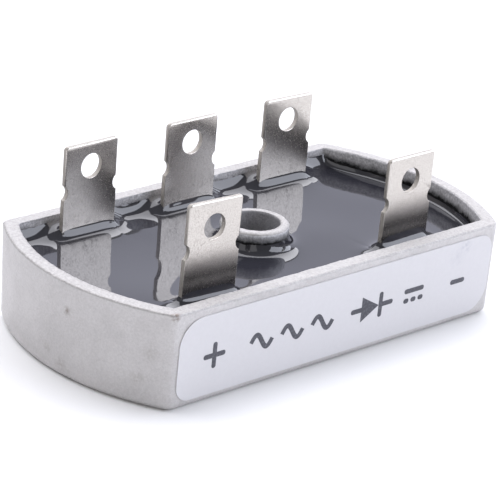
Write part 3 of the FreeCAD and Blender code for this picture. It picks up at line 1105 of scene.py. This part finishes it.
class Sign(Enum):
    """The plain signs printed on the label."""

    PLUS = "plus"
    MINUS = "minus"
    WAVE = "wave"
    DIODE = "diode"
    DIRECT = "direct"


@dataclass
class PrintedLabel:
    """The label with its print: plain polarity signs, and rectifier signs where the ratings go.

    The parts of a sign are shares of its size, and a rounded corner is a share of the stroke.
    """

    stroke: float = 0.5
    corner_share: float = 0.45
    corner_segments: int = 4
    ink_thickness: float = 0.012
    print_level: float = 4.6
    sign_size: float = 2.6
    minus_share: float = 0.75
    wave_share: float = 0.55
    wave_steps: int = 24
    dash_share: float = 0.26
    dash_pitch: float = 0.37
    lead_share: float = 1.3
    weld: float = 0.001
    sharp_degrees: float = 20.0
    signs: tuple[tuple[Sign, float], ...] = (
        (Sign.PLUS, -15.7), (Sign.WAVE, -10.0), (Sign.WAVE, -6.2), (Sign.WAVE, -2.4), (Sign.DIODE, 3.4),
        (Sign.DIRECT, 9.6), (Sign.MINUS, 15.6))
    stock: LabelStock = field(default_factory=LabelStock)
    ink: PrintedInk = field(default_factory=PrintedInk)

    def label_plane(self) -> tuple[Vector, Vector]:
        """The label's outer face.

        Returns:
            A point on it and its outward normal.
        """
        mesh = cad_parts["label"].data
        face = max(mesh.polygons, key=lambda face: -face.normal.y * face.area)
        return face.center.copy(), face.normal.copy()

    def bar(self, ink: bmesh.types.BMesh, x: float, z: float, length: float, height: float,
            ends: tuple[int, ...] = (-1, 1)) -> None:
        """Prints a straight bar with rounded ends.

        Args:
            ink: The print, flat in the XZ plane.
            x: Middle along the label.
            z: Middle over the base.
            length: Length along the label.
            height: Height up the label.
            ends: Which ends along the label have rounded corners.
        """
        made = bmesh.ops.create_grid(ink, x_segments=1, y_segments=1, size=0.5)["verts"]
        corners = [vert for vert in made if math.copysign(1, vert.co.x) in ends]
        bmesh.ops.scale(ink, vec=(length, height, 1.0), verts=made)
        bmesh.ops.rotate(ink, cent=(0, 0, 0), matrix=Matrix.Rotation(math.pi / 2, 3, "X"), verts=made)
        bmesh.ops.translate(ink, vec=(x, 0, z), verts=made)
        self.round_off(ink, corners)

    def round_off(self, ink: bmesh.types.BMesh, corners: list[bmesh.types.BMVert]) -> None:
        """Rounds corners of the print, as a stroke of the print ends."""
        bmesh.ops.bevel(ink, geom=corners, offset=self.corner_share * self.stroke, offset_type="OFFSET",
                        segments=self.corner_segments, profile=0.5, affect="VERTICES", material=-1)

    def cross(self, ink: bmesh.types.BMesh, x: float, z: float, size: float) -> None:
        """Prints a plus as one outline with rounded ends.

        Args:
            ink: The print, flat in the XZ plane.
            x: Middle along the label.
            z: Middle over the base.
            size: Its width and height.
        """
        arm, half = size / 2, self.stroke / 2
        quarter = [(half, half), (half, arm), (-half, arm)]
        outline = []
        for turn in range(4):
            for across, up in quarter:
                for _ in range(turn):
                    across, up = -up, across
                outline.append(ink.verts.new((x + across, 0, z + up)))
        ink.faces.new(outline)
        self.round_off(ink, [vert for place, vert in enumerate(outline) if place % 3])

    def wave(self, ink: bmesh.types.BMesh, x: float, z: float, length: float, height: float) -> None:
        """Prints one wave, drawn out stroke by stroke from a short upright edge.

        Args:
            ink: The print, flat in the XZ plane.
            x: Middle along the label.
            z: Middle over the base.
            length: Length along the label.
            height: Height from trough to crest.
        """
        steps = self.wave_steps
        half = self.stroke / 2
        for step in range(steps + 1):
            turn = 2 * math.pi * step / steps
            middle = Vector((x + length * (step / steps - 0.5), 0, z + height / 2 * math.sin(turn)))
            slope = math.pi * height / length * math.cos(turn)
            across = Vector((-slope, 0, 1)).normalized() * half
            if step == 0:
                pair = [ink.verts.new(middle - across), ink.verts.new(middle + across)]
                edge = ink.edges.new(pair)
                continue
            made = bmesh.ops.extrude_edge_only(ink, edges=[edge])["geom"]
            edge = next(part for part in made if isinstance(part, bmesh.types.BMEdge))
            low, high = sorted(edge.verts, key=lambda vert: (vert.co - pair[0].co).length)
            low.co, high.co = middle - across, middle + across
            pair = [low, high]

    def triangle(self, ink: bmesh.types.BMesh, x: float, z: float, size: float) -> None:
        """Prints a filled triangle that points along the label.

        Args:
            ink: The print, flat in the XZ plane.
            x: Middle along the label.
            z: Middle over the base.
            size: Its height up the label.
        """
        made = bmesh.ops.create_circle(ink, cap_ends=True, segments=3, radius=size / math.sqrt(3))["verts"]
        bmesh.ops.rotate(ink, cent=(0, 0, 0), matrix=Matrix.Rotation(-math.pi / 2, 3, "Z"), verts=made)
        bmesh.ops.rotate(ink, cent=(0, 0, 0), matrix=Matrix.Rotation(math.pi / 2, 3, "X"), verts=made)
        bmesh.ops.translate(ink, vec=(x, 0, z), verts=made)

    def draw(self, ink: bmesh.types.BMesh, sign: Sign, x: float) -> None:
        """Prints one sign.

        Args:
            ink: The print, flat in the XZ plane.
            sign: Which sign.
            x: Its middle along the label.
        """
        z, size, stroke = self.print_level, self.sign_size, self.stroke
        if sign is Sign.PLUS:
            self.cross(ink, x, z, size)
        elif sign is Sign.MINUS:
            self.bar(ink, x, z, size * self.minus_share, stroke)
        elif sign is Sign.WAVE:
            self.wave(ink, x, z, size, size * self.wave_share)
        elif sign is Sign.DIRECT:
            self.bar(ink, x, z + stroke, size, stroke)
            for step in (-1, 0, 1):
                self.bar(ink, x + step * size * self.dash_pitch, z - stroke, size * self.dash_share, stroke)
        else:
            tip = size / math.sqrt(3)
            lead = self.lead_share * size - tip - stroke
            self.bar(ink, x - (tip + lead) / 2, z, lead, stroke, ends=(-1,))
            self.triangle(ink, x, z, size)
            self.bar(ink, x + tip + stroke / 2, z, stroke, size)
            self.bar(ink, x + tip + stroke + lead / 2, z, lead, stroke, ends=(1,))

    def build(self) -> bpy.types.Object:
        """Dresses the label's node and prints on it.

        Returns:
            The print, as thin solids of ink.
        """
        paint(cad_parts["label"], self.stock.material())
        ink = bmesh.new()
        for sign, x in self.signs:
            self.draw(ink, sign, x)
        bmesh.ops.remove_doubles(ink, verts=ink.verts, dist=self.weld)
        bmesh.ops.recalc_face_normals(ink, faces=ink.faces)
        point, outward = self.label_plane()
        made = bmesh.ops.extrude_face_region(ink, geom=ink.faces[:])["geom"]
        lifted = [part for part in made if isinstance(part, bmesh.types.BMVert)]
        bmesh.ops.translate(ink, vec=(0, -self.ink_thickness, 0), verts=lifted)
        bmesh.ops.scale(ink, vec=(MM, MM, MM), verts=ink.verts)
        for vert in ink.verts:
            height, depth = vert.co.z, vert.co.y
            on_label = point.y - (height - point.z) * outward.z / outward.y
            vert.co.y = on_label + depth
        bmesh.ops.recalc_face_normals(ink, faces=ink.faces)
        return add_piece("label_print", ink, "label_paper", self.ink.material(),
                         sharp_degrees=self.sharp_degrees)


@dataclass
class SealedStack:
    """What the potting seals in: the plate, bars, chips and solder keep their CAD shapes.

    A finish goes to the nodes whose names hold its key. The first key counts, because the solder under a
    chip is named for both.
    """

    finishes: dict[str, GrainyFinish] = field(default_factory=lambda: {
        "_solder": DULL_SOLDER, "_bus_bar": BARE_COPPER, "insulating_plate": FIRED_ALUMINA,
        "_chip_": SAWN_SILICON})

    def build(self) -> None:
        """Gives each sealed node the material of its kind."""
        made = {part: finish.material() for part, finish in self.finishes.items()}
        for name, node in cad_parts.items():
            kinds = [part for part in made if part in name]
            if kinds:
                paint(node, made[kinds[0]])
                LOG.info("%s: %s", name, node.data.materials[0].name)


@dataclass
class Softbox:
    """A plain softbox, placed by its bearing from +X and its height in degrees, and by its distance."""

    name: str
    bearing: float
    elevation: float
    distance: float
    width: float
    height: float
    radiance: float
    colour: str = "#FFFFFF"

    def build(self, aim: Vector) -> None:
        """Adds the light.

        Args:
            aim: The point that it faces.
        """
        light = bpy.data.lights.new(self.name, "AREA")
        light.shape = "RECTANGLE"
        light.size, light.size_y = self.width, self.height
        light.energy = self.radiance * math.pi * self.width * self.height
        light.color = linear(self.colour)[:3]
        bearing, elevation = math.radians(self.bearing), math.radians(self.elevation)
        towards = Vector((math.cos(bearing) * math.cos(elevation), math.sin(bearing) * math.cos(elevation),
                          math.sin(elevation)))
        lamp = bpy.data.objects.new(self.name, light)
        lamp.location = aim + towards * self.distance
        lamp.rotation_euler = (-towards).to_track_quat("-Z", "Y").to_euler()
        lamp.visible_camera = False
        bpy.context.scene.collection.objects.link(lamp)


@dataclass
class Studio:
    """White floor, soft light and the camera at the photograph's place."""

    floor_size: float = 4.0
    floor_drop: float = 0.02
    floor_finish: PaperSweep = field(default_factory=PaperSweep)
    world_radiance: float = 0.36
    light_aim: tuple[float, float, float] = (0.0, 0.0, 8.0)
    camera_place: tuple[float, float, float] = (-162.192, -169.474, 105.155)
    camera_aim: tuple[float, float, float] = (-0.005, 0.319, 6.542)
    camera_roll_degrees: float = -4.92665
    lens_mm: float = 190.486
    sensor_mm: float = 36.0
    clip_m: Span = Span(0.01, 10.0)
    softboxes: tuple[Softbox, ...] = (
        Softbox("key_right", -34.0, 27.0, 0.8, 1.3, 0.42, 4.9, "#EEF2FF"),
        Softbox("fill_left", -150.0, 24.0, 0.9, 0.9, 0.5, 1.0, "#F6F4F6"),
        Softbox("bank_behind", 74.0, 60.0, 0.8, 1.5, 0.85, 3.9, "#F8F8FF"),
        Softbox("backdrop_glow", 45.0, 14.0, 0.9, 1.4, 0.42, 0.9, "#E6E8FF"),
    )

    def add_floor(self) -> None:
        """Adds the pale plain floor just under the part."""
        shape = bmesh.new()
        bmesh.ops.create_grid(shape, x_segments=1, y_segments=1, size=self.floor_size / 2)
        bmesh.ops.translate(shape, vec=(0, 0, -self.floor_drop * MM), verts=shape.verts)
        mesh = bpy.data.meshes.new("studio_floor")
        shape.to_mesh(mesh)
        shape.free()
        floor = bpy.data.objects.new("studio_floor", mesh)
        bpy.context.scene.collection.objects.link(floor)
        mesh.materials.append(self.floor_finish.material())

    def add_light(self) -> None:
        """Adds an even white surround and the softboxes."""
        world = bpy.data.worlds.new("studio_surround")
        world.use_nodes = True
        tree = world.node_tree
        tree.nodes.clear()
        sky = add_node(tree, "Background", {"Color": linear("#FFFFFF"), "Strength": self.world_radiance})
        add_node(tree, "OutputWorld", {"Surface": sky})
        bpy.context.scene.world = world
        for softbox in self.softboxes:
            softbox.build(Vector(self.light_aim) * MM)

    def add_camera(self) -> None:
        """Adds the camera at the place, aim, roll and lens that were fitted to the photograph."""
        place = Vector(self.camera_place) * MM
        forward = (Vector(self.camera_aim) * MM - place).normalized()
        level_right = forward.cross(Vector((0, 0, 1))).normalized()
        level_down = forward.cross(level_right)
        roll = math.radians(self.camera_roll_degrees)
        right = level_right * math.cos(roll) + level_down * math.sin(roll)
        up = -forward.cross(right)
        camera = bpy.data.cameras.new("photograph_camera")
        camera.lens, camera.sensor_width, camera.sensor_fit = self.lens_mm, self.sensor_mm, "HORIZONTAL"
        camera.clip_start, camera.clip_end = self.clip_m.start, self.clip_m.end
        tripod = bpy.data.objects.new("photograph_camera", camera)
        tripod.matrix_world = Matrix.Translation(place) @ Matrix((right, up, -forward)).transposed().to_4x4()
        bpy.context.scene.collection.objects.link(tripod)
        bpy.context.scene.camera = tripod

    def build(self) -> None:
        """Builds the studio round the part."""
        self.add_floor()
        self.add_light()
        self.add_camera()
        bpy.context.scene.view_settings.view_transform = "Standard"


def main() -> None:
    logging.basicConfig(level=logging.INFO, format="%(name)s: %(message)s")
    CastCase().build()
    PottingCompound().build()
    BladeTerminals().build()
    PrintedLabel().build()
    SealedStack().build()
    Studio().build()


if __name__ == "__main__":
    main()
